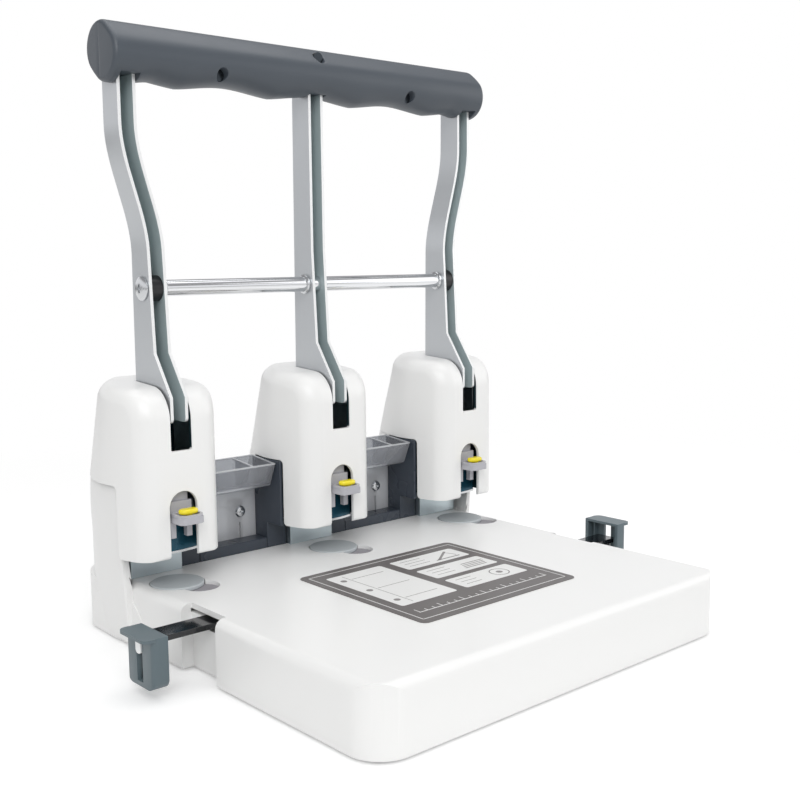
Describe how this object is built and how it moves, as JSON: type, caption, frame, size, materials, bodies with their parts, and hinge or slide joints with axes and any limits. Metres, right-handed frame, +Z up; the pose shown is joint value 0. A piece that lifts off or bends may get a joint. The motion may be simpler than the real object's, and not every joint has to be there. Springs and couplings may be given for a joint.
{
  "type": "hole punch",
  "caption": "Heavy-duty lever punch: paper table with side guides, punching heads with clips and guards, and a tall cranked lever frame with a moulded grip.",
  "frame": {"origin": "on the desk under the middle of the base", "axes": "+X to the user's right along the row of heads, +Y to the back, +Z up"},
  "size_m": [0.329, 0.284, 0.3321],
  "materials": {
    "white_shell": "satin moulded, fine polish",
    "black_tray": "matt moulded",
    "foot_rubber": "matt",
    "label_film": null,
    "zinc_frame": "zinc plated sheet",
    "dark_housing": "near black, satin",
    "blued_sleeve": "blued and polished",
    "die_grey": "dark grey, matt",
    "disc_grey": "mid grey nylon",
    "pin_steel": "ground",
    "spring_steel": "oiled wire",
    "smoked_guard": "smoked clear plastic",
    "screw_steel": "bright plated",
    "arm_silver": "silver lacquer, fine flake",
    "grip_slate": "slate grey, satin",
    "rod_chrome": "mirror polish",
    "bush_black": "black nylon",
    "clip_grey": "light grey, satin",
    "button_yellow": "yellow, glossy",
    "rail_black": "black, glossy",
    "stop_slate": "blue-grey, satin"
  },
  "bodies": {
    "base": {"base_shell": "white_shell", "chip_pan": "black_tray", "feet": "foot_rubber", "label_panel": "label_film", "head_cover_l": "white_shell", "head_cover_m": "white_shell", "head_cover_r": "white_shell", "punch_frame_l": "zinc_frame", "punch_frame_m": "zinc_frame", "punch_frame_r": "zinc_frame", "head_core_l": "dark_housing", "head_core_m": "dark_housing", "head_core_r": "dark_housing", "guide_sleeve_l": "blued_sleeve", "guide_sleeve_m": "blued_sleeve", "guide_sleeve_r": "blued_sleeve", "die_seat_l": "die_grey", "die_seat_m": "die_grey", "die_seat_r": "die_grey", "pivot_pin_l": "pin_steel", "pivot_pin_m": "pin_steel", "pivot_pin_r": "pin_steel", "lever_spring_l": "spring_steel", "lever_spring_m": "spring_steel", "lever_spring_r": "spring_steel", "rear_sills": "dark_housing", "guard_l": "smoked_guard", "guard_r": "smoked_guard", "guard_screws": "screw_steel"},
    "lever": {"arm_l": "arm_silver", "arm_m": "arm_silver", "arm_r": "arm_silver", "grip_front": "grip_slate", "grip_rear": "grip_slate", "grip_screws": "screw_steel", "cross_rod": "rod_chrome", "rod_collars": "screw_steel", "rod_bush_l": "bush_black", "rod_bush_r": "bush_black", "rod_screws": "screw_steel"},
    "punch_l": {"punch_pin_l": "pin_steel", "punch_clip_l": "clip_grey"},
    "punch_m": {"punch_pin_m": "pin_steel", "punch_clip_m": "clip_grey"},
    "punch_r": {"punch_pin_r": "pin_steel", "punch_clip_r": "clip_grey"},
    "button_l": {"clip_button_l": "button_yellow"},
    "button_m": {"clip_button_m": "button_yellow"},
    "button_r": {"clip_button_r": "button_yellow"},
    "disc_l": {"die_disc_l": "disc_grey"},
    "disc_m": {"die_disc_m": "disc_grey"},
    "disc_r": {"die_disc_r": "disc_grey"},
    "rail_l": {"guide_rail_l": "rail_black"},
    "rail_r": {"guide_rail_r": "rail_black"},
    "stop_l": {"end_stop_l": "stop_slate"},
    "stop_r": {"end_stop_r": "stop_slate"}
  },
  "joints": [
    {"name": "lever_swing", "type": "hinge", "parent": "base", "child": "lever", "pos_m": [0, 0.069, 0.132], "axis": [1, 0, 0], "range_deg": [0, 54], "stiffness_Nm_per_rad": 2, "springref_deg": -20.05},
    {"name": "punch_drop_l", "type": "slide", "parent": "base", "child": "punch_l", "axis": [0, 0, -1], "range_m": [0, 0.0216]},
    {"name": "button_press_l", "type": "slide", "parent": "punch_l", "child": "button_l", "axis": [0, 0, -1], "range_m": [0, 0.0012], "stiffness_N_per_m": 300, "springref_m": -0.0008},
    {"name": "disc_turn_l", "type": "hinge", "parent": "base", "child": "disc_l", "pos_m": [-0.108, 0.049, 0.0336], "axis": [0, 0, 1], "continuous": true},
    {"name": "punch_drop_m", "type": "slide", "parent": "base", "child": "punch_m", "axis": [0, 0, -1], "range_m": [0, 0.0216]},
    {"name": "button_press_m", "type": "slide", "parent": "punch_m", "child": "button_m", "axis": [0, 0, -1], "range_m": [0, 0.0012], "stiffness_N_per_m": 300, "springref_m": -0.0008},
    {"name": "disc_turn_m", "type": "hinge", "parent": "base", "child": "disc_m", "pos_m": [0, 0.049, 0.0336], "axis": [0, 0, 1], "continuous": true},
    {"name": "punch_drop_r", "type": "slide", "parent": "base", "child": "punch_r", "axis": [0, 0, -1], "range_m": [0, 0.0216]},
    {"name": "button_press_r", "type": "slide", "parent": "punch_r", "child": "button_r", "axis": [0, 0, -1], "range_m": [0, 0.0012], "stiffness_N_per_m": 300, "springref_m": -0.0008},
    {"name": "disc_turn_r", "type": "hinge", "parent": "base", "child": "disc_r", "pos_m": [0.108, 0.049, 0.0336], "axis": [0, 0, 1], "continuous": true},
    {"name": "rail_pull_l", "type": "slide", "parent": "base", "child": "rail_l", "axis": [-1, 0, 0], "range_m": [-0.029, 0.02]},
    {"name": "stop_lift_l", "type": "slide", "parent": "rail_l", "child": "stop_l", "axis": [0, 0, 1], "range_m": [0, 0.0135]},
    {"name": "rail_pull_r", "type": "slide", "parent": "base", "child": "rail_r", "axis": [1, 0, 0], "range_m": [-0.029, 0.02]},
    {"name": "stop_lift_r", "type": "slide", "parent": "rail_r", "child": "stop_r", "axis": [0, 0, 1], "range_m": [-0.0085, 0.005]}
  ],
  "couplings": [
    {"joint": "punch_drop_l", "follows": "lever_swing", "m_per_rad": 0.02281},
    {"joint": "punch_drop_m", "follows": "lever_swing", "m_per_rad": 0.02281},
    {"joint": "punch_drop_r", "follows": "lever_swing", "m_per_rad": 0.02281}
  ]
}
